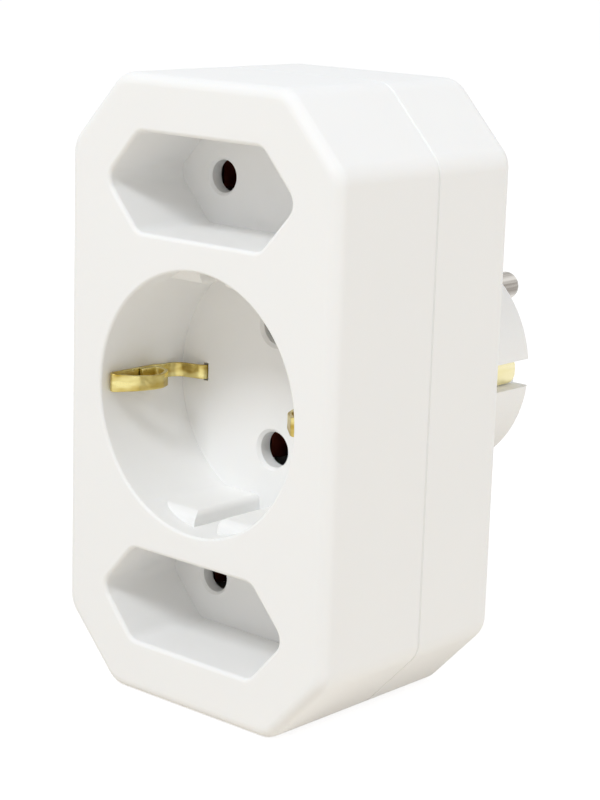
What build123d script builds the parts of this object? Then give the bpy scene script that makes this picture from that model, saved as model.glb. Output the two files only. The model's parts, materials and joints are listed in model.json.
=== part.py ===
"""Three-way plug-in adapter: an earthed plug, one round earthed socket and two flat sockets.

Frame, in millimetres: the origin is the middle of the plug's face, between its two pins.
+Y runs along the pins into the wall, +Z is up and the sockets face -Y.
"""
import os

from build123d import *

os.makedirs("parts", exist_ok=True)

# Housing: an upright block with cut corners, moulded in two halves
WIDTH = 53.0
HEIGHT = 94.0
BODY_DEPTH = 39.5
CUT_X = 10.2
CUT_Z = 10.8
CORNER_ROUND = 4.5
FRONT_ROUND = 1.8
BACK_ROUND = 2.5
WALL = 2.2
BACK_WALL = 2.0
JOINT_DEPTH = 21.6
JOINT_CHAMFER = 0.25
LIP_WALL = 1.0
LIP_HEIGHT = 1.5
LIP_GAP = 0.1

# Plug body and its two pins
PLUG_LENGTH = 18.5
PLUG_RADIUS = 18.3
PLUG_WALL = 2.4
PLUG_FACE = 3.0
PLUG_ROUND = 1.0
PIN_SPACING = 19.0
PIN_RADIUS = 2.4
PIN_ROOT_RADIUS = 2.6
PIN_LENGTH = 19.0
PIN_TIP_ROUND = 1.9
COLLAR_RADIUS = 3.6
COLLAR_LENGTH = 1.6
COLLAR_WALL = 1.6
SHANK_RADIUS = 2.0
SPIGOT_RADIUS = 1.5
GUIDE_FLAT = 16.6
GUIDE_KEY = 3.8
GUIDE_LENGTH = 15.0
NOTCH_WIDTH = 4.4
NOTCH_FLOOR = 15.0
NOTCH_WALL = 1.6
NOTCH_SLOT = 0.8

# Round socket
CUP_RADIUS = 19.5
CUP_DEPTH = 17.5
CUP_WALL = 2.4
CUP_FLOOR = 2.5
CUP_MOUTH_ROUND = 0.5
PIN_HOLE_RADIUS = 2.8
PIN_HOLE_EDGE = 0.5
RIB_FLAT = 17.0
RIB_START = 3.3
RIB_ROUND = 2.0
RIB_GROOVE = 4.7
GROOVE_ROUND = 1.0
CLIP_SLOT_THICK = 1.0
CLIP_SLOT_WIDTH = 2.8
CLIP_SLOT_Z = 0.3

# Flat sockets, above and below the round one
POCKET_Z = 31.3
POCKET_TIP = 18.7
POCKET_SHOULDER = 12.1
POCKET_HALF_HEIGHT = 7.3
POCKET_ROUND = 2.4
POCKET_MOUTH_ROUND = 0.7
POCKET_DEPTH = 15.2
POCKET_WALL = 2.0
POCKET_FLOOR = 2.3
FLAT_HOLE_RADIUS = 2.5
FLAT_HOLE_EDGE = 0.4
BRIDGE_WIDTH = 19.0
BRIDGE_HEIGHT = 6.0
BRIDGE_Z = 21.5

# Screws, from the back into bosses of the front half
SCREW_X = 20.0
SCREW_Z = 20.0
BOSS_RADIUS = 3.4
COLUMN_RADIUS = 4.2
SCREW_RADIUS = 1.4
SCREW_HEAD_RADIUS = 2.8
SCREW_HEAD_HEIGHT = 2.0
SCREW_SEAT_DEPTH = 34.0
SCREW_END_DEPTH = 12.5
SCREW_HEAD_EDGE = 0.8
SCREW_TIP = 1.6
SCREW_GAP = 0.3
RECESS_LENGTH = 3.2
RECESS_WIDTH = 0.8
RECESS_DEPTH = 1.0
BOSS_RIB_WIDTH = 2.4
BOSS_RIB_HEIGHT = 1.6
BOSS_RIB_X = 23.4

# Stamped strip and its rivets
BUS_THICK = 0.8
BUS_WIDTH = 5.0
BRANCH_WIDTH = 6.4
BUS_X = 9.5
BUS_END = 3.6
BUS_ROUND = 1.0
PEG_Z = 22.5
PEG_RADIUS = 1.3
PEG_GAP = 0.1
PEG_RISE = 1.0
RIVET_RADIUS = 1.0
RIVET_HEAD_RADIUS = 1.8
RIVET_HEAD_HEIGHT = 0.7
RIVET_TAIL_RADIUS = 1.6
RIVET_TAIL_HEIGHT = 0.6
RIVET_EDGE = 0.3
RIVET_POCKET_RADIUS = 2.2
RIVET_POCKET_DEPTH = 1.0
CONTACT_THICK = 0.5
CONTACT_WIDTH = 4.6
CONTACT_FOOT_X = -6.6
ROUND_FORK_X = 3.4
ROUND_THROAT_X = 2.45
FLAT_FORK_X = 2.9
FLAT_THROAT_X = 2.05
FORK_GAP = 0.9
MOUTH_LENGTH = 2.3
THROAT_LENGTH = 6.6
FORK_BEND = 0.6
RING_RADIUS = 4.4
RING_HOLE_RADIUS = 2.75

# Earth strips
EARTH_THICK = 0.6
EARTH_CROSS_DEPTH = 21.3
EARTH_RIVET_X = 7.0
PLUG_STRIP_X = 15.3
PLUG_STRIP_WIDTH = 4.0
PLUG_STRIP_END = 57.6
PLUG_STRIP_ROUND = 1.8
SEAT_WIDTH = 4.0
EARTH_BEND = 1.0

# Earth clip, from its foot in the floor along the wall to the mouth and back to its end
CLIP_TOP = 1.6
CLIP_BOTTOM = -1.3
NECK_TOP = 1.4
NECK_BOTTOM = -0.8
NECK_START = 11.0
NECK_TAPER = 2.0
CLIP_X = 14.3
CLIP_FOOT_DEPTH = 17.0
CLIP_WALL_X = 19.05
CLIP_HEEL_DEPTH = 15.6
CLIP_MOUTH_DEPTH = 0.6
CLIP_SLOPE_X = 1.1
CLIP_SLOPE_DEPTH = 4.3
CLIP_NOSE_LEFT = 15.0
CLIP_NOSE_RIGHT = 13.8
CLIP_NOSE_DEPTH = 7.0
CLIP_NOSE_END = 8.6
CLIP_CURL_X = 1.2
CLIP_CURL_DEPTH = 10.9
CLIP_END_X = 18.3
CLIP_RETURN_DEPTH = 10.6
CLIP_END_DEPTH = 7.4
CLIP_BENDS = [1.0, 2.2, 0.6, 4.0, 3.0, 2.0, 0.9, 0.9]

# How far a cut runs past the face that it leaves, and how close an edge lies to count as there
PAST = 1.0
NEAR = 0.01

FACE_Y = -(BODY_DEPTH + PLUG_LENGTH)
BUS_DEPTH = BODY_DEPTH - BACK_WALL - BUS_THICK
CONTACT_DEPTH = BUS_DEPTH - CONTACT_THICK / 2
PLUG_END = BODY_DEPTH + PLUG_LENGTH
PIN_Z = PIN_SPACING / 2
INNER_BACK = BODY_DEPTH - BACK_WALL
INNER_FACE = PLUG_END - PLUG_FACE
PIN_PLACES = [(0, PIN_Z), (0, -PIN_Z)]
FLAT_HOLE_PLACES = [(x, z) for z in (POCKET_Z, -POCKET_Z) for x in (-PIN_Z, PIN_Z)]
SCREW_PLACES = [(x, z) for z in (SCREW_Z, -SCREW_Z) for x in (-SCREW_X, SCREW_X)]
PEG_PLACES = [(x, z) for z in (PEG_Z, -PEG_Z) for x in (-BUS_X, BUS_X)]
BOSS_RIB_PLACES = [(x, z) for z in (SCREW_Z, -SCREW_Z) for x in (-BOSS_RIB_X, BOSS_RIB_X)]


def at_depth(depth):
    """The upright plane that lies this far behind the front face, with x right and y up."""
    return Plane.XZ.offset(-(FACE_Y + depth))


def block(shape, start, end, mode=Mode.ADD):
    """Carry a sketch from one depth to another."""
    with BuildSketch(at_depth(start)) as profile:
        shape()
    extrude(profile.sketch, amount=start - end, mode=mode)


def round_block(radius, places, start, end, mode=Mode.ADD):
    """Round bosses or holes at the given (x, z) places, from one depth to another."""
    with BuildSketch(at_depth(start)) as profile:
        with Locations(*places):
            Circle(radius)
    extrude(profile.sketch, amount=start - end, mode=mode)


def box_block(width, height, places, start, end, mode=Mode.ADD):
    """Square-cornered ribs or slots at the given (x, z) places."""
    with BuildSketch(at_depth(start)) as profile:
        with Locations(*places):
            Rectangle(width, height)
    extrude(profile.sketch, amount=start - end, mode=mode)


def turned(profile, place):
    """Turn a closed profile of (radius, depth) points about the line along Y through a place."""
    x, z = place
    with BuildSketch(Plane.XY.offset(z)) as half:
        Polygon(*[(x + radius, FACE_Y + depth) for radius, depth in profile], align=None)
    revolve(half.sketch, axis=Axis((x, 0, z), (0, 1, 0)))


def bent_strip(path, bends, thick, low, high):
    """A strip bent along a path of (x, depth) points, upright between two heights."""
    with BuildLine() as line:
        FilletPolyline(*[(x, FACE_Y + depth) for x, depth in path], radius=bends)
    with BuildSketch(Plane.XY.offset(low)) as profile:
        trace(line.line, line_width=thick)
    extrude(profile.sketch, amount=high - low)


def outline(inset=0.0):
    """The housing's outline: a rectangle with its four corners cut and the edges rounded."""
    side = WIDTH / 2
    top = HEIGHT / 2
    upper = [(side - CUT_X, top), (side, top - CUT_Z)]
    right = upper + [(x, -z) for x, z in reversed(upper)]
    with BuildSketch(mode=Mode.PRIVATE) as octagon:
        Polygon(*right, *[(-x, -z) for x, z in right], align=None)
        fillet(octagon.vertices(), CORNER_ROUND)
        if inset:
            offset(amount=-inset, mode=Mode.REPLACE)
    add(octagon.sketch_local)


def pockets(grow=0.0):
    """The outline of both flat sockets: a long hexagon with rounded corners."""
    right = [(POCKET_SHOULDER, POCKET_HALF_HEIGHT), (POCKET_TIP, 0), (POCKET_SHOULDER, -POCKET_HALF_HEIGHT)]
    with BuildSketch(mode=Mode.PRIVATE) as hexagon:
        Polygon(*right, *[(-x, -z) for x, z in right], align=None)
        fillet(hexagon.vertices(), POCKET_ROUND)
        if grow:
            offset(amount=grow, mode=Mode.REPLACE)
    with Locations((0, POCKET_Z), (0, -POCKET_Z)):
        add(hexagon.sketch_local)


def edges_at(part, depth, radius=None):
    """The edges of a part that lie flat at a depth, or only its circles of one radius."""
    flat = part.edges().filter_by_position(Axis.Y, FACE_Y + depth - NEAR, FACE_Y + depth + NEAR)
    if radius is None:
        return flat
    return flat.filter_by(GeomType.CIRCLE).filter_by(lambda edge: abs(edge.radius - radius) < NEAR)


def rivet_profile(front, back):
    """Half a rivet's section: a head before the front face, a shank, and a tail formed on the back face."""
    head = front - RIVET_HEAD_HEIGHT
    tail = back + RIVET_TAIL_HEIGHT
    return [
        (0, head),
        (RIVET_HEAD_RADIUS - RIVET_EDGE, head),
        (RIVET_HEAD_RADIUS, head + RIVET_EDGE),
        (RIVET_HEAD_RADIUS, front),
        (RIVET_RADIUS, front),
        (RIVET_RADIUS, back),
        (RIVET_TAIL_RADIUS, back),
        (RIVET_TAIL_RADIUS, tail),
        (0, tail),
    ]


def save(piece, name):
    """Label a finished piece and write its file."""
    piece.part.label = name
    export_step(piece.part, f"parts/{name}.step")


# Space of the round recess between its guide ribs, whose front edges are rounded
with BuildPart() as rib_space:
    round_block(CUP_RADIUS, [(0, 0)], RIB_START, CUP_DEPTH)
    rounded = RIB_FLAT + RIB_ROUND
    with BuildSketch(Plane.YZ.offset(-CUP_RADIUS)):
        with Locations((FACE_Y + (RIB_START + CUP_DEPTH) / 2, 0)):
            Rectangle(CUP_DEPTH - RIB_START, 2 * RIB_FLAT)
        with Locations((FACE_Y + RIB_START + RIB_ROUND / 2, 0)):
            Rectangle(RIB_ROUND, 2 * rounded)
        with Locations((FACE_Y + RIB_START + RIB_ROUND, rounded), (FACE_Y + RIB_START + RIB_ROUND, -rounded)):
            Circle(RIB_ROUND, mode=Mode.SUBTRACT)
    extrude(amount=2 * CUP_RADIUS, mode=Mode.INTERSECT)

# Front half: face, round cup and both pockets in one moulding
with BuildPart() as front_cover:
    block(outline, 0, JOINT_DEPTH)
    fillet(edges_at(front_cover, 0), FRONT_ROUND)
    chamfer(edges_at(front_cover, JOINT_DEPTH), JOINT_CHAMFER)
    block(lambda: outline(WALL), WALL, JOINT_DEPTH, Mode.SUBTRACT)
    block(lambda: outline(WALL - LIP_WALL - LIP_GAP), JOINT_DEPTH - LIP_HEIGHT - LIP_GAP, JOINT_DEPTH,
          Mode.SUBTRACT)
    round_block(CUP_RADIUS + CUP_WALL, [(0, 0)], WALL, CUP_DEPTH + CUP_FLOOR)
    block(lambda: pockets(POCKET_WALL), WALL, POCKET_DEPTH + POCKET_FLOOR)
    box_block(BRIDGE_WIDTH, BRIDGE_HEIGHT, [(0, BRIDGE_Z), (0, -BRIDGE_Z)], WALL, POCKET_DEPTH + POCKET_FLOOR)
    round_block(BOSS_RADIUS, SCREW_PLACES, WALL, JOINT_DEPTH)
    box_block(BOSS_RIB_WIDTH, BOSS_RIB_HEIGHT, BOSS_RIB_PLACES, WALL, CUP_DEPTH)
    round_block(SCREW_RADIUS, SCREW_PLACES, SCREW_END_DEPTH - PAST, JOINT_DEPTH, Mode.SUBTRACT)
    box_block(SEAT_WIDTH, CLIP_TOP - CLIP_BOTTOM, [(0, (CLIP_TOP + CLIP_BOTTOM) / 2)],
              CUP_DEPTH, EARTH_CROSS_DEPTH - EARTH_THICK / 2)
    # Round recess with its guide ribs, whose middle groove reaches the wall
    round_block(CUP_RADIUS, [(0, 0)], 0, RIB_START, Mode.SUBTRACT)
    add(rib_space.part, mode=Mode.SUBTRACT)
    with BuildSketch(at_depth(RIB_START)):
        Rectangle(RIB_GROOVE, 2 * CUP_RADIUS)
        groove_x = RIB_GROOVE / 2 + GROOVE_ROUND
        groove_z = RIB_FLAT + GROOVE_ROUND
        Rectangle(2 * groove_x, 2 * groove_z)
        with GridLocations(2 * groove_x, 2 * groove_z, 2, 2):
            Circle(GROOVE_ROUND, mode=Mode.SUBTRACT)
        Circle(CUP_RADIUS, mode=Mode.INTERSECT)
    extrude(amount=RIB_START - CUP_DEPTH, mode=Mode.SUBTRACT)
    block(pockets, 0, POCKET_DEPTH, Mode.SUBTRACT)
    # Pin holes and the slots that the earth clips come through
    round_block(PIN_HOLE_RADIUS, PIN_PLACES, CUP_DEPTH, CUP_DEPTH + CUP_FLOOR, Mode.SUBTRACT)
    round_block(FLAT_HOLE_RADIUS, FLAT_HOLE_PLACES, POCKET_DEPTH, POCKET_DEPTH + POCKET_FLOOR, Mode.SUBTRACT)
    box_block(CLIP_SLOT_THICK, CLIP_SLOT_WIDTH, [(-CLIP_X, CLIP_SLOT_Z), (CLIP_X, CLIP_SLOT_Z)],
              CUP_DEPTH, CUP_DEPTH + CUP_FLOOR, Mode.SUBTRACT)
    chamfer(edges_at(front_cover, CUP_DEPTH, PIN_HOLE_RADIUS), PIN_HOLE_EDGE)
    chamfer(edges_at(front_cover, POCKET_DEPTH, FLAT_HOLE_RADIUS), FLAT_HOLE_EDGE)
    fillet(edges_at(front_cover, 0, CUP_RADIUS), CUP_MOUTH_ROUND)
    pocket_mouths = edges_at(front_cover, 0).filter_by(
        lambda edge: abs(edge.center().X) < POCKET_TIP
        and abs(abs(edge.center().Z) - POCKET_Z) < POCKET_HALF_HEIGHT + NEAR)
    fillet(pocket_mouths, POCKET_MOUTH_ROUND)
save(front_cover, "front_cover")

# Back half: back wall and hollow plug body in one moulding
with BuildPart() as rear_cover:
    block(outline, JOINT_DEPTH, BODY_DEPTH)
    fillet(edges_at(rear_cover, BODY_DEPTH), BACK_ROUND)
    chamfer(edges_at(rear_cover, JOINT_DEPTH), JOINT_CHAMFER)
    block(lambda: outline(WALL), JOINT_DEPTH, INNER_BACK, Mode.SUBTRACT)
    # Lip that enters the front half
    with BuildSketch(at_depth(JOINT_DEPTH - LIP_HEIGHT)) as lip:
        outline(WALL - LIP_WALL)
    with BuildSketch(at_depth(JOINT_DEPTH - LIP_HEIGHT)) as lip_space:
        outline(WALL)
    extrude(lip.sketch - lip_space.sketch, amount=-LIP_HEIGHT)
    round_block(PLUG_RADIUS, [(0, 0)], BODY_DEPTH, PLUG_END)
    fillet(edges_at(rear_cover, PLUG_END), PLUG_ROUND)
    round_block(COLUMN_RADIUS, SCREW_PLACES, JOINT_DEPTH, INNER_BACK)
    round_block(PLUG_RADIUS - PLUG_WALL, [(0, 0)], INNER_BACK, INNER_FACE, Mode.SUBTRACT)
    # Inner walls behind the earth notches, then the notches and the slots they end in
    notch_back = NOTCH_FLOOR - NOTCH_WALL
    notch_side = PLUG_RADIUS - PLUG_ROUND
    notch_middle = (notch_back + notch_side) / 2
    box_block(notch_side - notch_back, NOTCH_WIDTH + 2 * NOTCH_WALL,
              [(-notch_middle, 0), (notch_middle, 0)], INNER_BACK, INNER_FACE)
    cut_middle = (NOTCH_FLOOR + WIDTH / 2) / 2
    box_block(WIDTH / 2 - NOTCH_FLOOR, NOTCH_WIDTH, [(-cut_middle, 0), (cut_middle, 0)],
              BODY_DEPTH, PLUG_END, Mode.SUBTRACT)
    slot_middle = NOTCH_FLOOR + NOTCH_SLOT / 2
    box_block(NOTCH_SLOT, NOTCH_WIDTH, [(-slot_middle, 0), (slot_middle, 0)],
              INNER_BACK, BODY_DEPTH, Mode.SUBTRACT)
    # Guide flats above and below, each with a key in the middle
    guide_middle = (GUIDE_KEY / 2 + PLUG_RADIUS) / 2
    box_block(PLUG_RADIUS - GUIDE_KEY / 2, 2 * (PLUG_RADIUS - GUIDE_FLAT),
              [(x, z) for x in (-guide_middle, guide_middle) for z in (-PLUG_RADIUS, PLUG_RADIUS)],
              PLUG_END - GUIDE_LENGTH, PLUG_END, Mode.SUBTRACT)
    # Seats of the pin collars
    round_block(COLLAR_RADIUS + COLLAR_WALL, PIN_PLACES, INNER_FACE - COLLAR_LENGTH, INNER_FACE)
    round_block(COLLAR_RADIUS, PIN_PLACES, INNER_FACE - COLLAR_LENGTH, INNER_FACE, Mode.SUBTRACT)
    round_block(PIN_ROOT_RADIUS, PIN_PLACES, INNER_FACE, PLUG_END, Mode.SUBTRACT)
    # Pegs and rivet pockets for the bus bars
    round_block(PEG_RADIUS, PEG_PLACES, BUS_DEPTH - PEG_RISE, INNER_BACK)
    round_block(RIVET_POCKET_RADIUS, FLAT_HOLE_PLACES, INNER_BACK, INNER_BACK + RIVET_POCKET_DEPTH,
                Mode.SUBTRACT)
    # Screw holes
    round_block(SCREW_HEAD_RADIUS + SCREW_GAP, SCREW_PLACES, SCREW_SEAT_DEPTH, BODY_DEPTH, Mode.SUBTRACT)
    round_block(SCREW_RADIUS + SCREW_GAP, SCREW_PLACES, JOINT_DEPTH, SCREW_SEAT_DEPTH, Mode.SUBTRACT)
save(rear_cover, "rear_cover")

# Plug pins: turned from bar, with a collar behind the plug's face and a riveted end
pin_profile = [
    (0, BUS_DEPTH),
    (SPIGOT_RADIUS, BUS_DEPTH),
    (SPIGOT_RADIUS, INNER_BACK),
    (SHANK_RADIUS, INNER_BACK),
    (SHANK_RADIUS, INNER_FACE - COLLAR_LENGTH),
    (COLLAR_RADIUS, INNER_FACE - COLLAR_LENGTH),
    (COLLAR_RADIUS, INNER_FACE),
    (PIN_ROOT_RADIUS, INNER_FACE),
    (PIN_ROOT_RADIUS, PLUG_END),
    (PIN_RADIUS, PLUG_END),
    (PIN_RADIUS, PLUG_END + PIN_LENGTH),
    (0, PLUG_END + PIN_LENGTH),
]
for pin_name, pin_place in zip(("plug_pin_top", "plug_pin_bottom"), PIN_PLACES):
    with BuildPart() as plug_pin:
        turned(pin_profile, pin_place)
        fillet(edges_at(plug_pin, PLUG_END + PIN_LENGTH), PIN_TIP_ROUND)
    save(plug_pin, pin_name)

# Bus bars: each a flat strip past two flat sockets, with a branch to one plug pin
for bus_name, side in (("live_bus_bar", 1), ("neutral_bus_bar", -1)):
    with BuildPart() as bus_bar:
        with BuildSketch(at_depth(BUS_DEPTH)) as bus_shape:
            with Locations((-side * BUS_X, 0)):
                RectangleRounded(BUS_WIDTH, 2 * (POCKET_Z + BUS_END), BUS_ROUND)
            with Locations((-side * BUS_X / 2, side * PIN_Z)):
                Rectangle(BUS_X, BRANCH_WIDTH)
            with Locations((0, side * PIN_Z)):
                Circle(BRANCH_WIDTH / 2)
                Circle(SPIGOT_RADIUS, mode=Mode.SUBTRACT)
            with Locations((side * CONTACT_FOOT_X, side * PIN_Z)):
                Circle(RIVET_RADIUS, mode=Mode.SUBTRACT)
            with Locations((-side * BUS_X, POCKET_Z), (-side * BUS_X, -POCKET_Z)):
                Circle(RIVET_RADIUS, mode=Mode.SUBTRACT)
            with Locations((-side * BUS_X, PEG_Z), (-side * BUS_X, -PEG_Z)):
                Circle(PEG_RADIUS + PEG_GAP, mode=Mode.SUBTRACT)
        extrude(amount=-BUS_THICK)
    save(bus_bar, bus_name)

# Contacts of the round socket: a sprung fork on a ring that lets the pin's tip through
for contact_name, side in (("round_contact_top", 1), ("round_contact_bottom", -1)):
    place = (0, side * PIN_Z)
    middle = side * PIN_Z
    fork = [
        (ROUND_FORK_X, CUP_DEPTH + CUP_FLOOR + FORK_GAP),
        (ROUND_THROAT_X, CUP_DEPTH + CUP_FLOOR + FORK_GAP + MOUTH_LENGTH),
        (ROUND_FORK_X, CUP_DEPTH + CUP_FLOOR + FORK_GAP + THROAT_LENGTH),
        (ROUND_FORK_X, CONTACT_DEPTH),
    ]
    with BuildPart() as round_contact:
        bent_strip(fork + [(-x, depth) for x, depth in reversed(fork)], FORK_BEND, CONTACT_THICK,
                   middle - CONTACT_WIDTH / 2, middle + CONTACT_WIDTH / 2)
        round_block(RING_RADIUS, [place], CONTACT_DEPTH - CONTACT_THICK / 2, BUS_DEPTH)
        foot_length = -CONTACT_FOOT_X + CONTACT_WIDTH / 2
        box_block(foot_length, CONTACT_WIDTH, [(-side * foot_length / 2, middle)],
                  CONTACT_DEPTH - CONTACT_THICK / 2, BUS_DEPTH)
        round_block(RING_HOLE_RADIUS, [place], CONTACT_DEPTH - PAST, BUS_DEPTH, Mode.SUBTRACT)
        round_block(RIVET_RADIUS, [(side * CONTACT_FOOT_X, middle)], CONTACT_DEPTH - PAST, BUS_DEPTH,
                    Mode.SUBTRACT)
    save(round_contact, contact_name)

# Contacts of the flat sockets: a smaller fork, riveted through its base
FLAT_NAMES = [f"flat_contact_{row}_{side}" for row in ("upper", "lower") for side in ("left", "right")]
for contact_name, (x, z) in zip(FLAT_NAMES, FLAT_HOLE_PLACES):
    fork = [
        (FLAT_FORK_X, POCKET_DEPTH + POCKET_FLOOR + FORK_GAP),
        (FLAT_THROAT_X, POCKET_DEPTH + POCKET_FLOOR + FORK_GAP + MOUTH_LENGTH),
        (FLAT_FORK_X, POCKET_DEPTH + POCKET_FLOOR + FORK_GAP + THROAT_LENGTH),
        (FLAT_FORK_X, CONTACT_DEPTH),
    ]
    with BuildPart() as flat_contact:
        right_side = [(x + dx, depth) for dx, depth in fork]
        left_side = [(x - dx, depth) for dx, depth in reversed(fork)]
        bent_strip(right_side + left_side, FORK_BEND, CONTACT_THICK,
                   z - CONTACT_WIDTH / 2, z + CONTACT_WIDTH / 2)
        round_block(RIVET_RADIUS, [(x, z)], CONTACT_DEPTH - PAST, BUS_DEPTH, Mode.SUBTRACT)
    save(flat_contact, contact_name)

# Rivets that hold the contacts to the bus bars
contact_rivet = rivet_profile(CONTACT_DEPTH - CONTACT_THICK / 2, INNER_BACK)
rivet_places = dict(zip([name.replace("flat_contact", "contact_rivet") for name in FLAT_NAMES],
                        FLAT_HOLE_PLACES))
rivet_places["contact_rivet_top"] = (CONTACT_FOOT_X, PIN_Z)
rivet_places["contact_rivet_bottom"] = (-CONTACT_FOOT_X, -PIN_Z)
for rivet_name, place in rivet_places.items():
    with BuildPart() as rivet:
        turned(contact_rivet, place)
    save(rivet, rivet_name)


def clip_path(nose):
    """Path of one earth clip: out of the floor, along the wall to the mouth and back in a sprung loop."""
    return [
        (CLIP_X, CLIP_FOOT_DEPTH),
        (CLIP_WALL_X, CLIP_HEEL_DEPTH),
        (CLIP_WALL_X, CLIP_MOUTH_DEPTH),
        (nose + CLIP_SLOPE_X, CLIP_SLOPE_DEPTH),
        (nose, CLIP_NOSE_DEPTH),
        (nose, CLIP_NOSE_END),
        (nose + CLIP_CURL_X, CLIP_CURL_DEPTH),
        (CLIP_END_X, CLIP_RETURN_DEPTH),
        (CLIP_END_X, CLIP_END_DEPTH),
    ]


# Socket earth strip: a cross piece behind the cup's floor with a sprung clip at each end
right_clip = clip_path(CLIP_NOSE_RIGHT)
left_clip = [(-x, depth) for x, depth in reversed(clip_path(CLIP_NOSE_LEFT))]
earth_corner = [(-CLIP_X, EARTH_CROSS_DEPTH), (CLIP_X, EARTH_CROSS_DEPTH)]
with BuildPart() as socket_earth_strip:
    bent_strip(left_clip + earth_corner + right_clip,
               CLIP_BENDS[::-1] + [EARTH_BEND, EARTH_BEND] + CLIP_BENDS,
               EARTH_THICK, CLIP_BOTTOM, CLIP_TOP)
    # The strip is narrower where it comes out of the floor and bends to the wall
    neck_end = CUP_DEPTH + CUP_FLOOR
    upper_edge = [(0, CLIP_TOP), (NECK_START, CLIP_TOP), (NECK_START + NECK_TAPER, NECK_TOP),
                  (neck_end, NECK_TOP), (neck_end, CLIP_TOP), (JOINT_DEPTH + PAST, CLIP_TOP)]
    lower_edge = [(0, CLIP_BOTTOM), (NECK_START, CLIP_BOTTOM), (NECK_START + NECK_TAPER, NECK_BOTTOM),
                  (neck_end, NECK_BOTTOM), (neck_end, CLIP_BOTTOM), (JOINT_DEPTH + PAST, CLIP_BOTTOM)]
    with BuildSketch(Plane.YZ.offset(-WIDTH / 2)):
        Polygon(*[(FACE_Y + depth, z) for depth, z in upper_edge + lower_edge[::-1]], align=None)
    extrude(amount=WIDTH, mode=Mode.INTERSECT)
    round_block(RIVET_RADIUS, [(-EARTH_RIVET_X, 0), (EARTH_RIVET_X, 0)],
                EARTH_CROSS_DEPTH - PAST, EARTH_CROSS_DEPTH + PAST, Mode.SUBTRACT)
save(socket_earth_strip, "socket_earth_strip")

# Plug earth strip: lies on the back of the other and runs out along both sides of the plug
plug_cross = EARTH_CROSS_DEPTH + EARTH_THICK
with BuildPart() as plug_earth_strip:
    bent_strip([(-PLUG_STRIP_X, PLUG_STRIP_END), (-PLUG_STRIP_X, plug_cross),
                (PLUG_STRIP_X, plug_cross), (PLUG_STRIP_X, PLUG_STRIP_END)],
               EARTH_BEND, EARTH_THICK, -PLUG_STRIP_WIDTH / 2, PLUG_STRIP_WIDTH / 2)
    round_block(RIVET_RADIUS, [(-EARTH_RIVET_X, 0), (EARTH_RIVET_X, 0)],
                plug_cross - PAST, plug_cross + PAST, Mode.SUBTRACT)
    fillet(edges_at(plug_earth_strip, PLUG_STRIP_END).filter_by(Axis.X), PLUG_STRIP_ROUND)
save(plug_earth_strip, "plug_earth_strip")

# Rivets that join the two earth strips
earth_rivet = rivet_profile(EARTH_CROSS_DEPTH - EARTH_THICK / 2, plug_cross + EARTH_THICK / 2)
for rivet_name, x in (("earth_rivet_left", -EARTH_RIVET_X), ("earth_rivet_right", EARTH_RIVET_X)):
    with BuildPart() as rivet:
        turned(earth_rivet, (x, 0))
    save(rivet, rivet_name)

# Screws that close the housing, with a cross recess
head_top = SCREW_SEAT_DEPTH + SCREW_HEAD_HEIGHT
screw_profile = [
    (0, SCREW_END_DEPTH),
    (SCREW_RADIUS, SCREW_END_DEPTH + SCREW_TIP),
    (SCREW_RADIUS, SCREW_SEAT_DEPTH),
    (SCREW_HEAD_RADIUS, SCREW_SEAT_DEPTH),
    (SCREW_HEAD_RADIUS, head_top - SCREW_HEAD_EDGE),
    (SCREW_HEAD_RADIUS - SCREW_HEAD_EDGE, head_top),
    (0, head_top),
]
SCREW_NAMES = [f"cover_screw_{row}_{side}" for row in ("upper", "lower") for side in ("left", "right")]
for screw_name, place in zip(SCREW_NAMES, SCREW_PLACES):
    with BuildPart() as screw:
        turned(screw_profile, place)
        box_block(RECESS_LENGTH, RECESS_WIDTH, [place], head_top - RECESS_DEPTH, head_top, Mode.SUBTRACT)
        box_block(RECESS_WIDTH, RECESS_LENGTH, [place], head_top - RECESS_DEPTH, head_top, Mode.SUBTRACT)
    save(screw, screw_name)
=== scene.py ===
"""Looks of a three-way plug-in adapter: white moulded housing, sprung brass earth strips, turned pins.

Places are in millimetres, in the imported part's frame, and become metres where a mesh is made:
+Y runs along the pins into the wall, +Z is up and the sockets face -Y.
"""
import json
import math

import bmesh
import bpy
import numpy as np
from mathutils import Matrix, Vector


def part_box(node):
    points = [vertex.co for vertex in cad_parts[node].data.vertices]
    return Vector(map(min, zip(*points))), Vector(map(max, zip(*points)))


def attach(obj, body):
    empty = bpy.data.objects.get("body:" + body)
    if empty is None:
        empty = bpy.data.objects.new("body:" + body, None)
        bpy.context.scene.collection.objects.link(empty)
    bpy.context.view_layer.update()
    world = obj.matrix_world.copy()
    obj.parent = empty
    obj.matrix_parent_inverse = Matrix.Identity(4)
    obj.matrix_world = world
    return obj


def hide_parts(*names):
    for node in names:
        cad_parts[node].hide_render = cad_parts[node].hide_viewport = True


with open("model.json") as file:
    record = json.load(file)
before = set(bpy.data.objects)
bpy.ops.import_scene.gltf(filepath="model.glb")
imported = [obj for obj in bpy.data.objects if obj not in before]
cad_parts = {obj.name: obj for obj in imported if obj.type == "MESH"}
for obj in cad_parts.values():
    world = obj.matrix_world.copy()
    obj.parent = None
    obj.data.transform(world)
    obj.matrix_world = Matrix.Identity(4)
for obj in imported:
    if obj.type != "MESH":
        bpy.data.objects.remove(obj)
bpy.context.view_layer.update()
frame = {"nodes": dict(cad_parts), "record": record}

MM = 0.001
BODY = "root"

# Meshes: the angle of a sharp edge, the distance of merged corners, and the steps of each curve
SHARP_ANGLE = math.radians(32)
MERGE = 0.0005
BEND_STEPS = 24
CORNER_STEPS = 5
END_STEPS = 4
DOME_STEPS = 16
BOW_STEPS = 10
RIM_STEPS = 8
HEAD_STEPS = 28
PITCH_STEPS = 10
PIN_COLUMNS = 96
RIVET_COLUMNS = 48
SCREW_COLUMNS = 72

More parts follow.
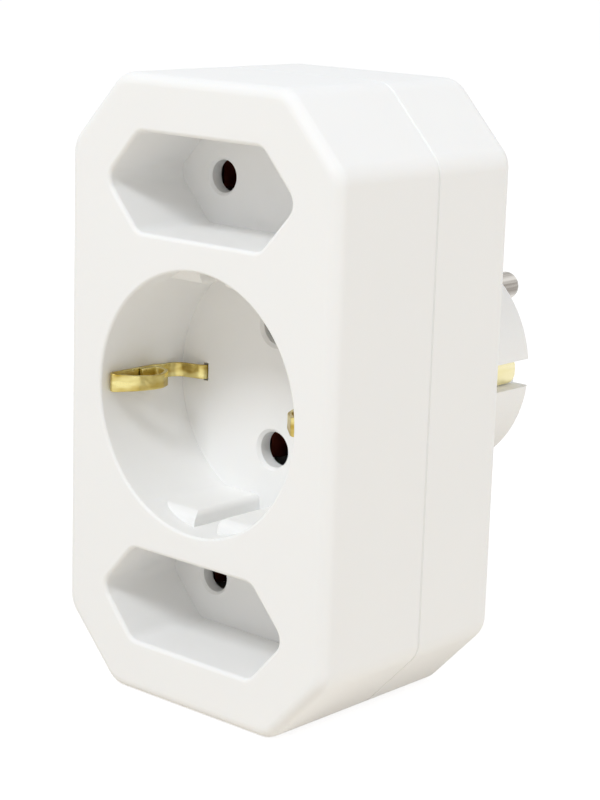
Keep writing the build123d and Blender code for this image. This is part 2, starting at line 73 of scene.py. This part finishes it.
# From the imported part: the face with the sockets, and the table top
FACE_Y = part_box("front_cover")[0].y / MM
FLOOR_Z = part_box("front_cover")[0].z / MM

# Earth strips: thickness, rounded edge and the places of their bends
STRIP_THICK = 0.6
STRIP_EDGE = 0.13
STRIP_STEP = 0.16
CROSS_DEPTH = 21.3
CROSS_BEND = 1.0
CLIP_TOP = 1.6
CLIP_BOTTOM = -1.3
NOSE_TOP = 1.1
NOSE_BOTTOM = -1.1
NECK_TOP = 1.4
NECK_BOTTOM = -0.8
NECK_START = 11.0
NECK_TAPER = 2.0
NECK_END = 20.0
CLIP_X = 14.3
CLIP_FOOT_DEPTH = 17.0
CLIP_WALL_X = 19.05
CLIP_HEEL_DEPTH = 15.6
CLIP_MOUTH_DEPTH = 0.6
CLIP_SLOPE_X = 1.1
CLIP_SLOPE_DEPTH = 4.3
CLIP_NOSE_LEFT = 15.0
CLIP_NOSE_RIGHT = 13.8
CLIP_NOSE_DEPTH = 7.0
CLIP_NOSE_END = 8.6
CLIP_CURL_X = 1.2
CLIP_CURL_DEPTH = 10.9
CLIP_END_X = 18.3
CLIP_RETURN_DEPTH = 10.6
CLIP_END_DEPTH = 7.4
CLIP_BENDS = [1.0, 2.2, 0.6, 4.0, 3.0, 2.0, 0.9, 0.9]
PLUG_STRIP_X = 15.3
PLUG_STRIP_HALF = 2.0
PLUG_STRIP_ROUND = 1.8

# Plug pins, with the plug's face at 0 and everything before it inside the plug
PIN_RADIUS = 2.4
PIN_TIP_ROUND = 1.9
PIN_ROOT_RADIUS = 2.6
COLLAR_RADIUS = 3.6
COLLAR_FRONT = -4.6
COLLAR_BACK = -3.0
SHANK_RADIUS = 2.0
SPIGOT_RADIUS = 1.5
SPIGOT_LENGTH = 0.8

# Cover screws and rivets
SCREW_RADIUS = 1.4
SCREW_ROOT_RADIUS = 1.08
SCREW_TIP = 1.6
THREAD_PITCH = 1.2
RIDGE_STEEP = 2.2
SCREW_HEAD = 2.0
SCREW_HEAD_RADIUS = 2.8
SCREW_HEAD_ROUND = 0.8
CROSS_HALF_LENGTH = 1.6
CROSS_HALF_WIDTH = 0.42
CROSS_RECESS = 0.95
CROSS_WALL = 0.16
RIVET_RADIUS = 1.0
RIVET_HEAD_RADIUS = 1.8
RIVET_HEAD = 0.7
RIVET_TAIL_RADIUS = 1.6
RIVET_TAIL = 0.6

# Surface patterns: the width and depth of each lump or line
FLOW_CLOUD = 14.0
SKIN_WIDTH = 0.5
SKIN_DEPTH = 0.006
DENT_WIDTH = 1.1
LINE_DEPTH = 0.0015

# Noise between the two tones of a metal, how far its gloss strays, and how its pattern is drawn out
TONE_LOW = 0.35
TONE_HIGH = 0.65
GLOSS_SPREAD = 0.05
EVEN = (1.0, 1.0, 1.0)
ROLLED = (3.0, 3.0, 1.0)
POLISHED = (12.0, 12.0, 1.0)
ALONG_PIN = (1.0, 40.0, 1.0)

# Light: the room's level, the floor's own glow and half the floor's side
ROOM_LEVEL = 0.575
PAPER_GLOW = 0.815
FLOOR_HALF = 2500

# Camera, fitted to the photograph's edges
LENS = 95.609
SENSOR = 36.0
VIEW_AZIMUTH = math.radians(41.334)
VIEW_ELEVATION = math.radians(12.955)
VIEW_ROLL = math.radians(1.818)
VIEW_DISTANCE = 320.281
VIEW_TARGET = (3.0715, -38.0, -1.5285)
NEAR_CLIP = 10


def at_depth(depth):
    """The Y of a place that lies this far behind the front face."""
    return FACE_Y + depth


def colour(code):
    """An sRGB hex colour as linear red, green, blue and alpha."""
    parts = np.array([int(code[i:i + 2], 16) for i in (1, 3, 5)]) / 255
    linear = np.where(parts <= 0.04045, parts / 12.92, ((parts + 0.055) / 1.055) ** 2.4)
    return (*linear.tolist(), 1.0)


def add_node(tree, kind, values=None, **properties):
    """Add a node; values maps its inputs to numbers, colours or other nodes' outputs."""
    made = tree.nodes.new(kind)
    for key, value in properties.items():
        setattr(made, key, value)
    for socket, value in (values or {}).items():
        if isinstance(value, bpy.types.NodeSocket):
            tree.links.new(value, made.inputs[socket])
        else:
            made.inputs[socket].default_value = value
    return made


def new_tree(owner):
    """The node tree of a new material or world, with its nodes cleared."""
    owner.use_nodes = True
    owner.node_tree.nodes.clear()
    return owner.node_tree


def grain(tree, width, detail=2.0, stretch=EVEN):
    """Noise whose lumps are this wide, and longer along an axis where stretch is above 1."""
    place = add_node(tree, "ShaderNodeTexCoord").outputs["Object"]
    scale = [1 / (width * MM * longer) for longer in stretch]
    scaled = add_node(tree, "ShaderNodeMapping", {"Vector": place, "Scale": scale}).outputs[0]
    noise = add_node(tree, "ShaderNodeTexNoise", {"Vector": scaled, "Scale": 1.0, "Detail": detail})
    return noise.outputs[0]


def moulded_abs():
    """ABS, injection moulded in a polished tool: near white, satin, with light that enters its edges.

    The melt's flow leaves slow clouds of tone and gloss. The skin is drawn coarser than the real
    one, so that it still breaks up the highlights.
    """
    material = bpy.data.materials.new("moulded_abs")
    tree = new_tree(material)
    flow = grain(tree, FLOW_CLOUD, detail=1.0)
    tint = add_node(tree, "ShaderNodeMix", {0: flow, 6: colour("#f4f4f3"), 7: colour("#f6f6f5")},
                    data_type="RGBA")
    gloss = add_node(tree, "ShaderNodeMapRange", {"Value": flow, "To Min": 0.56, "To Max": 0.64})
    bump = add_node(tree, "ShaderNodeBump", {"Strength": 0.3, "Distance": SKIN_DEPTH * MM,
                                             "Height": grain(tree, SKIN_WIDTH)})
    shader = add_node(tree, "ShaderNodeBsdfPrincipled", {
        "Base Color": tint.outputs[2], "Roughness": gloss.outputs[0], "IOR": 1.53,
        "Subsurface Weight": 0.12, "Subsurface Radius": (1.0, 0.85, 0.7), "Subsurface Scale": 0.8 * MM,
        "Normal": bump.outputs[0]})
    add_node(tree, "ShaderNodeOutputMaterial", {"Surface": shader.outputs[0]})
    return material


def metal(name, light, dark, roughness, tone_width, line_width, dent_depth, stretch=EVEN):
    """A metal: its gloss and fine lines follow how it was worked, over shallow dents, and its tone
    follows the same pattern.

    Tone and lines are longer along an axis where stretch is above 1; the dents are even all ways. On the
    pin the two tones are painted reflections, on the contacts painted shade, and on the plug's strip
    painted light.
    """
    material = bpy.data.materials.new(name)
    tree = new_tree(material)
    tone = add_node(tree, "ShaderNodeMapRange", {"Value": grain(tree, tone_width, stretch=stretch),
                                                 "From Min": TONE_LOW, "From Max": TONE_HIGH}).outputs[0]
    tint = add_node(tree, "ShaderNodeMix", {0: tone, 6: colour(light), 7: colour(dark)},
                    data_type="RGBA")
    gloss = add_node(tree, "ShaderNodeMapRange", {"Value": tone, "To Min": roughness - GLOSS_SPREAD,
                                                  "To Max": roughness + GLOSS_SPREAD})
    lines = add_node(tree, "ShaderNodeBump", {"Strength": 1.0, "Distance": LINE_DEPTH * MM,
                                              "Height": grain(tree, line_width, detail=1.0,
                                                              stretch=stretch)})
    dents = add_node(tree, "ShaderNodeBump", {"Strength": 1.0, "Distance": dent_depth * MM,
                                              "Height": grain(tree, DENT_WIDTH, detail=1.0),
                                              "Normal": lines.outputs[0]})
    shader = add_node(tree, "ShaderNodeBsdfPrincipled", {
        "Base Color": tint.outputs[2], "Metallic": 1.0, "Roughness": gloss.outputs[0],
        "Normal": dents.outputs[0]})
    add_node(tree, "ShaderNodeOutputMaterial", {"Surface": shader.outputs[0]})
    return material


FINISHES = {
    "white_moulding": moulded_abs(),
    # Rolled brass, pale and olive: soft lines along the strip, and dents from the bending tool
    "earth_brass": metal("rolled_brass", "#e8db98", "#b89c46", roughness=0.32, tone_width=1.6,
                         line_width=0.10, dent_depth=0.10, stretch=ROLLED),
    # The same brass where the plug shows it, painted paler: painted light, as the strip catches more
    # light there
    "plug_earth_strip": metal("brass_painted_lit", "#eee6c2", "#e2d7a2", roughness=0.28, tone_width=2.0,
                              line_width=0.10, dent_depth=0.04, stretch=POLISHED),
    # Stamped phosphor bronze, reddish and dull, its colour darkened as painted shade so that the pin
    # holes look dark
    "contact_brass": metal("bronze_painted_dark", "#763a2c", "#542218", roughness=0.46, tone_width=3.0,
                           line_width=0.20, dent_depth=0.01),
    # Turned brass rivets, duller than the strips
    "rivet_brass": metal("turned_brass", "#c8a45c", "#b08a48", roughness=0.30, tone_width=3.0,
                         line_width=0.15, dent_depth=0.01),
    # Nickel over drawn brass, with painted reflections: long grey and bright streaks along the pin stand
    # in for the room it mirrors
    "nickel_pin": metal("nickel_painted_streaks", "#dedad4", "#958f88", roughness=0.22, tone_width=0.8,
                        line_width=0.10, dent_depth=0.003, stretch=ALONG_PIN),
    # Zinc plate on steel: bright, faintly blue, a little uneven
    "screw_steel": metal("zinc_plated_steel", "#c2c6c8", "#aeb4b8", roughness=0.32, tone_width=3.0,
                         line_width=0.25, dent_depth=0.01),
}


def show_piece(name, mesh, slot, node):
    """Show a finished mesh in place of a node, smooth but for its sharp edges."""
    mesh.shade_smooth()
    mesh.set_sharp_from_angle(angle=SHARP_ANGLE)
    mesh.materials.append(FINISHES.get(node, FINISHES[slot]))
    piece = bpy.data.objects.new(name, mesh)
    bpy.context.scene.collection.objects.link(piece)
    even = piece.modifiers.new("even_normals", "WEIGHTED_NORMAL")
    even.keep_sharp = True
    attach(piece, BODY)
    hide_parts(node)


def show_surface(name, slot, node, places, faces):
    """Show a surface of places in millimetres, its poles and seams closed and its faces turned out."""
    mesh = bpy.data.meshes.new(name)
    mesh.from_pydata(places.reshape(-1, 3) * MM, [], faces)
    shape = bmesh.new()
    shape.from_mesh(mesh)
    bmesh.ops.remove_doubles(shape, verts=shape.verts, dist=MERGE * MM)
    bmesh.ops.recalc_face_normals(shape, faces=shape.faces)
    shape.to_mesh(mesh)
    shape.free()
    show_piece(name, mesh, slot, node)


def show_merged_copy(node, slot):
    """Show the node's own skin with its doubled corners merged, so that it shades smooth."""
    mesh = frame["nodes"][node].data
    corners = np.empty(len(mesh.vertices) * 3, np.float32)
    mesh.vertices.foreach_get("co", corners)
    triangles = np.empty(len(mesh.polygons) * 3, np.int32)
    mesh.polygons.foreach_get("vertices", triangles)
    grid = np.round(corners.reshape(-1, 3) / (MERGE * MM))
    kept, merged = np.unique(grid, axis=0, return_inverse=True)
    faces = merged.reshape(-1)[triangles].reshape(-1, 3)
    whole = (faces != np.roll(faces, 1, axis=1)).all(axis=1)
    copy = bpy.data.meshes.new(f"finished_{node}")
    copy.from_pydata(kept * MERGE * MM, [], faces[whole])
    show_piece(f"finished_{node}", copy, slot, node)


def grid_faces(rows, columns):
    """Quads of a grid whose last column joins its first."""
    row, column = np.meshgrid(np.arange(rows - 1), np.arange(columns), indexing="ij")
    after = (column + 1) % columns
    quads = [row * columns + column, row * columns + after,
             (row + 1) * columns + after, (row + 1) * columns + column]
    return np.stack(quads, axis=-1).reshape(-1, 4).tolist()


def rounded_path(points, bends):
    """A path whose corners are arcs, as places one step apart.

    Each arc starts bend * tan(turn / 2) before its corner. At an angle t along it, the place is
    bend * sin(t) further on and bend * (1 - cos(t)) to the side that the path turns to.
    """
    points = np.array(points, float)
    pieces = [points[:1]]
    for before, corner, after, bend in zip(points, points[1:], points[2:], bends):
        incoming = (corner - before) / np.linalg.norm(corner - before)
        outgoing = (after - corner) / np.linalg.norm(after - corner)
        left = np.array([-incoming[1], incoming[0]])
        turn = math.atan2(left @ outgoing, incoming @ outgoing)
        inner = left * math.copysign(bend, turn)
        start = corner - incoming * bend * math.tan(abs(turn) / 2)
        angle = np.linspace(0, abs(turn), BEND_STEPS)[:, None]
        pieces.append(start + incoming * bend * np.sin(angle) + inner * (1 - np.cos(angle)))
    pieces.append(points[-1:])
    line = np.concatenate(pieces)
    length = np.concatenate([[0], np.cumsum(np.linalg.norm(np.diff(line, axis=0), axis=1))])
    even = np.linspace(0, length[-1], round(length[-1] / STRIP_STEP))
    return np.stack([np.interp(even, length, line[:, axis]) for axis in (0, 1)], axis=1)


def bent_strip(path, low, high):
    """A strip along a path of (x, y) places, between a low and a high edge at each place.

    Its section is a rectangle with quarter-round corners: across the path by half the thickness and
    up from low to high. It is carried along the path, and over the edge's radius at both ends its
    corners shrink on a quarter circle, so that the ends are rounded too.
    """
    along = np.gradient(path, axis=0)
    along /= np.linalg.norm(along, axis=1, keepdims=True)
    across = np.stack([along[:, 1], -along[:, 0]], axis=1)
    quarter = np.linspace(0, math.pi / 2, CORNER_STEPS)
    angle = np.concatenate([quarter + turn * math.pi / 2 for turn in range(4)])
    side = np.repeat([1, -1, -1, 1], len(quarter))
    upper = np.repeat([True, True, False, False], len(quarter))
    fade = np.linspace(0, math.pi / 2, END_STEPS)
    inner = np.arange(1, len(path) - 1)
    station = np.concatenate([np.zeros(len(fade), int), inner, np.full(len(fade), len(path) - 1)])
    corner = STRIP_EDGE * np.concatenate([np.sin(fade), np.ones(len(inner)), np.sin(fade[::-1])])
    inset = STRIP_EDGE * np.concatenate([1 - np.cos(fade), np.zeros(len(inner)), np.cos(fade[::-1]) - 1])
    middle = path[station] + along[station] * inset[:, None]
    off = (STRIP_THICK / 2 - STRIP_EDGE) * side + corner[:, None] * np.cos(angle)
    edge = np.where(upper, high[station, None] - STRIP_EDGE, low[station, None] + STRIP_EDGE)
    places = np.empty((len(station), len(angle), 3))
    places[:, :, :2] = middle[:, None, :] + across[station][:, None, :] * off[:, :, None]
    places[:, :, 2] = edge + corner[:, None] * np.sin(angle)
    ring = len(angle)
    last = (len(station) - 1) * ring
    return places, grid_faces(len(station), ring) + [list(range(ring)), list(range(last, last + ring))]


def clip_corners(nose):
    """Corners of one earth clip: out of the floor, along the wall, and back in a sprung loop."""
    corners = [
        (CLIP_X, CLIP_FOOT_DEPTH),
        (CLIP_WALL_X, CLIP_HEEL_DEPTH),
        (CLIP_WALL_X, CLIP_MOUTH_DEPTH),
        (nose + CLIP_SLOPE_X, CLIP_SLOPE_DEPTH),
        (nose, CLIP_NOSE_DEPTH),
        (nose, CLIP_NOSE_END),
        (nose + CLIP_CURL_X, CLIP_CURL_DEPTH),
        (CLIP_END_X, CLIP_RETURN_DEPTH),
        (CLIP_END_X, CLIP_END_DEPTH),
    ]
    return [(x, at_depth(depth)) for x, depth in corners]


def make_socket_earth_strip():
    """The strip behind the round recess, with a sprung clip at each end.

    Its edges run straight from the wide strip to the narrow neck, over the neck's taper, and to the
    narrow nose, with the distance from the recess's wall.
    """
    left = [(-x, y) for x, y in clip_corners(CLIP_NOSE_LEFT)[::-1]]
    cross = [(-CLIP_X, at_depth(CROSS_DEPTH)), (CLIP_X, at_depth(CROSS_DEPTH))]
    path = rounded_path(left + cross + clip_corners(CLIP_NOSE_RIGHT),
                        CLIP_BENDS[::-1] + [CROSS_BEND, CROSS_BEND] + CLIP_BENDS)
    depth = path[:, 1] - FACE_Y
    neck = np.where(depth < NECK_END, np.clip((depth - NECK_START) / NECK_TAPER, 0, 1), 0)
    off_wall = np.clip((CLIP_WALL_X - np.abs(path[:, 0])) / (CLIP_WALL_X - CLIP_NOSE_LEFT), 0, 1)
    nose = np.where(depth < NECK_START, off_wall, 0)
    low = CLIP_BOTTOM + neck * (NECK_BOTTOM - CLIP_BOTTOM) + nose * (NOSE_BOTTOM - CLIP_BOTTOM)
    high = CLIP_TOP + neck * (NECK_TOP - CLIP_TOP) + nose * (NOSE_TOP - CLIP_TOP)
    show_surface("socket_earth_clips", "earth_brass", "socket_earth_strip", *bent_strip(path, low, high))


def make_plug_earth_strip():
    """The strip that runs out along both sides of the plug.

    Its height falls on a quarter circle at both ends.
    """
    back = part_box("plug_earth_strip")[1].y / MM
    cross = at_depth(CROSS_DEPTH + STRIP_THICK)
    path = rounded_path([(-PLUG_STRIP_X, back), (-PLUG_STRIP_X, cross), (PLUG_STRIP_X, cross),
                         (PLUG_STRIP_X, back)], [CROSS_BEND, CROSS_BEND])
    into_round = np.clip(path[:, 1] - (back - PLUG_STRIP_ROUND), 0, PLUG_STRIP_ROUND)
    high = PLUG_STRIP_HALF - PLUG_STRIP_ROUND + np.sqrt(PLUG_STRIP_ROUND ** 2 - into_round ** 2)
    show_surface("plug_earth_strips", "earth_brass", "plug_earth_strip", *bent_strip(path, -high, high))


def turned(radius, height, place, columns):
    """Rows of (radius, y), turned about the line along Y through an (x, z) place.

    At each angle a row lies radius * cos(angle) along X and radius * sin(angle) along Z from it.
    """
    angle = np.linspace(0, 2 * math.pi, columns, endpoint=False)
    radius = radius + np.zeros((len(height), columns))
    places = np.empty((len(height), columns, 3))
    places[:, :, 0] = place[0] + radius * np.cos(angle)
    places[:, :, 1] = height
    places[:, :, 2] = place[1] + radius * np.sin(angle)
    return places


def make_plug_pin(node):
    """A turned plug pin: spigot, shank, collar and root inside the plug, then the free pin.

    Its round tip is a quarter circle between the pin's side and its flat end.
    """
    low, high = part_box(node)
    inner, tip = low.y / MM, high.y / MM
    step = inner + SPIGOT_LENGTH
    dome = np.linspace(0, math.pi / 2, DOME_STEPS)
    profile = [(0, inner), (SPIGOT_RADIUS, inner), (SPIGOT_RADIUS, step), (SHANK_RADIUS, step),
               (SHANK_RADIUS, COLLAR_FRONT), (COLLAR_RADIUS, COLLAR_FRONT), (COLLAR_RADIUS, COLLAR_BACK),
               (PIN_ROOT_RADIUS, COLLAR_BACK), (PIN_ROOT_RADIUS, 0), (PIN_RADIUS, 0)]
    round_tip = np.stack([PIN_RADIUS - PIN_TIP_ROUND + PIN_TIP_ROUND * np.cos(dome),
                          tip - PIN_TIP_ROUND + PIN_TIP_ROUND * np.sin(dome)], axis=1)
    rows = np.concatenate([profile, round_tip, [(0, tip)]])
    middle = (low.z + high.z) / 2 / MM
    places = turned(rows[:, :1], rows[:, 1:], (0, middle), PIN_COLUMNS)
    show_surface(f"turned_{node}", "nickel_pin", node, places, grid_faces(len(rows), PIN_COLUMNS))


def make_rivet(node):
    """A rivet: a head and a formed tail, both quarter ellipses, on a plain shank."""
    low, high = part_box(node)
    front, back = low.y / MM, high.y / MM
    bow = np.linspace(0, math.pi / 2, BOW_STEPS)
    head = np.stack([RIVET_HEAD_RADIUS * np.sin(bow), front + RIVET_HEAD * (1 - np.cos(bow))], axis=1)
    shank = [(RIVET_RADIUS, front + RIVET_HEAD), (RIVET_RADIUS, back - RIVET_TAIL)]
    tail = np.stack([RIVET_TAIL_RADIUS * np.cos(bow), back - RIVET_TAIL * (1 - np.sin(bow))], axis=1)
    rows = np.concatenate([head, shank, tail])
    middle = ((low.x + high.x) / 2 / MM, (low.z + high.z) / 2 / MM)
    places = turned(rows[:, :1], rows[:, 1:], middle, RIVET_COLUMNS)
    show_surface(f"turned_{node}", "rivet_brass", node, places, grid_faces(len(rows), RIVET_COLUMNS))


def make_cover_screw(node):
    """A pan-head screw in one turned grid, from its point up to the middle of its head.

    The thread is a ridge that stands out where the height in turns, less the angle in turns, is near
    a half. The head's top sinks inside either arm of the cross, over the width of the recess's wall.
    """
    low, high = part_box(node)
    point, top = low.y / MM, high.y / MM
    seat = top - SCREW_HEAD
    angle = np.linspace(0, 2 * math.pi, SCREW_COLUMNS, endpoint=False)
    shank = np.arange(point, seat, THREAD_PITCH / PITCH_STEPS)[:, None]
    turns = (shank - point) / THREAD_PITCH - angle / (2 * math.pi)
    ridge = np.clip(1 - RIDGE_STEEP * np.abs(2 * (turns % 1) - 1), 0, 1)
    thread = (SCREW_ROOT_RADIUS + ridge * (SCREW_RADIUS - SCREW_ROOT_RADIUS)) * np.clip(
        (shank - point) / SCREW_TIP, 0, 1)
    rim = np.linspace(0, math.pi / 2, RIM_STEPS)
    flat = SCREW_HEAD_RADIUS - SCREW_HEAD_ROUND
    in_rows = flat * np.linspace(1, 0, HEAD_STEPS)[1:]
    outer = np.concatenate([[SCREW_ROOT_RADIUS, SCREW_HEAD_RADIUS],
                            flat + SCREW_HEAD_ROUND * np.cos(rim)])
    outer_y = np.concatenate([[seat, seat], top - SCREW_HEAD_ROUND * (1 - np.sin(rim))])
    east = in_rows[:, None] * np.abs(np.cos(angle))
    north = in_rows[:, None] * np.abs(np.sin(angle))
    arms = [np.minimum(CROSS_HALF_LENGTH - along, CROSS_HALF_WIDTH - beside) / CROSS_WALL
            for along, beside in ((east, north), (north, east))]
    sunk = top - CROSS_RECESS * np.clip(np.maximum(*arms), 0, 1)
    whole = np.ones(SCREW_COLUMNS)
    radius = np.concatenate([thread, outer[:, None] * whole, in_rows[:, None] * whole])
    height = np.concatenate([shank * whole, outer_y[:, None] * whole, sunk])
    middle = ((low.x + high.x) / 2 / MM, (low.z + high.z) / 2 / MM)
    places = turned(radius, height, middle, SCREW_COLUMNS)
    show_surface(f"threaded_{node}", "screw_steel", node, places, grid_faces(len(height), SCREW_COLUMNS))


def background_ray(tree):
    """1 for a ray that shows the background: straight from the camera, mirrored or seen through."""
    path = add_node(tree, "ShaderNodeLightPath").outputs
    mirrored = add_node(tree, "ShaderNodeMath", {0: path["Is Camera Ray"], 1: path["Is Glossy Ray"]},
                        operation="MAXIMUM").outputs[0]
    return add_node(tree, "ShaderNodeMath", {0: mirrored, 1: path["Is Transmission Ray"]},
                    operation="MAXIMUM").outputs[0]


def make_floor():
    """A pale paper floor: it keeps the adapter's shadow, and is seen as white away from it."""
    material = bpy.data.materials.new("white_paper")
    tree = new_tree(material)
    seen = background_ray(tree)
    paper = add_node(tree, "ShaderNodeBsdfDiffuse", {"Color": colour("#ebe3d6")})
    shade = add_node(tree, "ShaderNodeBsdfDiffuse", {"Color": colour("#a0a0a0")})
    glow = add_node(tree, "ShaderNodeEmission", {"Color": colour("#ffffff"), "Strength": PAPER_GLOW})
    white = add_node(tree, "ShaderNodeAddShader", {0: shade.outputs[0], 1: glow.outputs[0]})
    either = add_node(tree, "ShaderNodeMixShader", {0: seen, 1: paper.outputs[0], 2: white.outputs[0]})
    add_node(tree, "ShaderNodeOutputMaterial", {"Surface": either.outputs[0]})
    mesh = bpy.data.meshes.new("floor")
    corners = [(east * FLOOR_HALF, north * FLOOR_HALF, FLOOR_Z)
               for east, north in ((-1, -1), (1, -1), (1, 1), (-1, 1))]
    mesh.from_pydata(np.array(corners) * MM, [], [(0, 1, 2, 3)])
    mesh.materials.append(material)
    floor = bpy.data.objects.new("floor", mesh)
    bpy.context.scene.collection.objects.link(floor)


def make_room():
    """A pale room that lights the adapter evenly, and is seen as white."""
    world = bpy.data.worlds.new("pale_room")
    bpy.context.scene.world = world
    tree = new_tree(world)
    seen = background_ray(tree)
    light = add_node(tree, "ShaderNodeBackground", {"Color": colour("#ffffff"), "Strength": ROOM_LEVEL})
    white = add_node(tree, "ShaderNodeBackground", {"Color": colour("#ffffff"), "Strength": 1.0})
    either = add_node(tree, "ShaderNodeMixShader", {0: seen, 1: light.outputs[0], 2: white.outputs[0]})
    add_node(tree, "ShaderNodeOutputWorld", {"Surface": either.outputs[0]})


def add_softbox(name, place, size, power, tint):
    """A square studio lamp at a place, turned to the middle of the housing."""
    lamp = bpy.data.lights.new(name, "AREA")
    lamp.size = size * MM
    lamp.energy = power
    lamp.color = colour(tint)[:3]
    holder = bpy.data.objects.new(name, lamp)
    holder.location = Vector(place) * MM
    holder.rotation_euler = (Vector(VIEW_TARGET) - Vector(place)).to_track_quat("-Z", "Y").to_euler()
    bpy.context.scene.collection.objects.link(holder)


def add_camera():
    """The camera that took the picture: round the target by azimuth and elevation, then rolled."""
    flat = math.cos(VIEW_ELEVATION)
    back = Vector((math.sin(VIEW_AZIMUTH) * flat, -math.cos(VIEW_AZIMUTH) * flat,
                   math.sin(VIEW_ELEVATION)))
    right = (-back).cross(Vector((0, 0, 1))).normalized()
    up = back.cross(right)
    rolled_right = math.cos(VIEW_ROLL) * right + math.sin(VIEW_ROLL) * up
    rolled_up = math.cos(VIEW_ROLL) * up - math.sin(VIEW_ROLL) * right
    turn = Matrix((rolled_right, rolled_up, back)).transposed().to_4x4()
    lens = bpy.data.cameras.new("camera")
    lens.lens = LENS
    lens.sensor_width = SENSOR
    lens.sensor_fit = "AUTO"
    lens.clip_start = NEAR_CLIP * MM
    camera = bpy.data.objects.new("camera", lens)
    camera.matrix_world = Matrix.Translation((Vector(VIEW_TARGET) + back * VIEW_DISTANCE) * MM) @ turn
    bpy.context.scene.collection.objects.link(camera)
    bpy.context.scene.camera = camera


for piece in frame["record"]["subparts"]:
    node_name = piece["node"]
    if node_name == "socket_earth_strip":
        make_socket_earth_strip()
    elif node_name == "plug_earth_strip":
        make_plug_earth_strip()
    elif "pin" in node_name:
        make_plug_pin(node_name)
    elif "rivet" in node_name:
        make_rivet(node_name)
    elif "screw" in node_name:
        make_cover_screw(node_name)
    else:
        show_merged_copy(node_name, piece["material_slot"])

make_floor()
make_room()
add_softbox("key_softbox", place=(0, -840, 960), size=300, power=7.3, tint="#f2f6fb")
add_softbox("side_softbox", place=(1200, 480, 140), size=1000, power=6.4, tint="#f6f7f9")
add_camera()
bpy.context.scene.view_settings.view_transform = "Standard"
